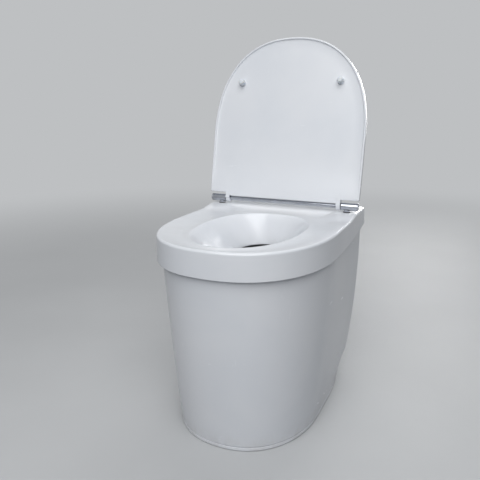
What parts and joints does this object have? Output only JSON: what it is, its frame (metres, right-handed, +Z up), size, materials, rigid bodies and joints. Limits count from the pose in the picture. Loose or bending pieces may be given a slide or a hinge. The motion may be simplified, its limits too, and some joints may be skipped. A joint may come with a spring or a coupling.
{
  "type": "composting toilet",
  "caption": "Waterless composting toilet: tapered casing, seat unit with a separating bowl, D-shaped lid on a rod hinge, and inside a solids bucket, urine canister and extraction fan.",
  "frame": {"origin": "on the floor, on the plane of symmetry, half way between the front and the back of the plinth", "axes": "+Z up, front of the seat towards -Y, wall side towards +Y, +X to the right seen from the front"},
  "size_m": [0.387, 0.5225, 0.8473],
  "materials": {
    "shell_white": "gloss",
    "hinge_chrome": "polished",
    "screw_steel": "satin",
    "seal_rubber": "matte",
    "buffer_silicone": "satin",
    "dark_plastic": "matte",
    "grey_plastic": "matte",
    "bucket_plastic": "satin",
    "canister_plastic": "satin",
    "clip_plastic": "matte",
    "lead_jacket": "matte"
  },
  "bodies": {
    "stand": {"base": "shell_white", "base_screws": "screw_steel", "casing": "shell_white", "casing_seal": "seal_rubber", "vent_duct": "shell_white", "vent_gasket": "seal_rubber", "fan_frame": "dark_plastic", "fan_screws": "screw_steel", "fan_grille": "screw_steel", "inlet_socket": "dark_plastic", "inlet_nut": "screw_steel", "fan_cable": "lead_jacket", "cable_clips": "clip_plastic"},
    "seat_unit": {"seat_top": "shell_white", "drop_chute": "dark_plastic", "drain_spout": "shell_white", "drain_nut": "grey_plastic", "hinge_post_left": "hinge_chrome", "hinge_post_right": "hinge_chrome", "hinge_barrel_left": "hinge_chrome", "hinge_barrel_right": "hinge_chrome", "hinge_bush_left": "dark_plastic", "hinge_bush_right": "dark_plastic", "barrel_cap_left": "hinge_chrome", "barrel_cap_right": "hinge_chrome", "hinge_washers": "seal_rubber", "hinge_nuts": "grey_plastic"},
    "lid": {"lid": "shell_white", "lid_buffers": "buffer_silicone", "hinge_rod": "hinge_chrome"},
    "impeller": {"fan_impeller": "dark_plastic"},
    "bucket": {"bucket": "bucket_plastic"},
    "canister": {"canister": "canister_plastic", "canister_collar": "grey_plastic"}
  },
  "joints": [
    {"name": "seat_lift", "type": "slide", "parent": "stand", "child": "seat_unit", "axis": [0, 0, 1], "range_m": [0, 0.86]},
    {"name": "bucket_lift", "type": "slide", "parent": "stand", "child": "bucket", "axis": [0, 0, 1], "range_m": [0, 0.43]},
    {"name": "canister_lift", "type": "slide", "parent": "stand", "child": "canister", "axis": [0, 0, 1], "range_m": [0, 0.43]},
    {"name": "lid_hinge", "type": "hinge", "parent": "seat_unit", "child": "lid", "pos_m": [0, 0.139, 0.4596], "axis": [1, 0, 0], "range_deg": [0, 101.3]},
    {"name": "fan_spin", "type": "hinge", "parent": "stand", "child": "impeller", "pos_m": [0, 0.192, 0.352], "axis": [0, 1, 0], "continuous": true}
  ],
  "couplings": [
    {"joint": "bucket_lift", "follows": "seat_lift", "ratio": 0.5},
    {"joint": "canister_lift", "follows": "seat_lift", "ratio": 0.5}
  ]
}
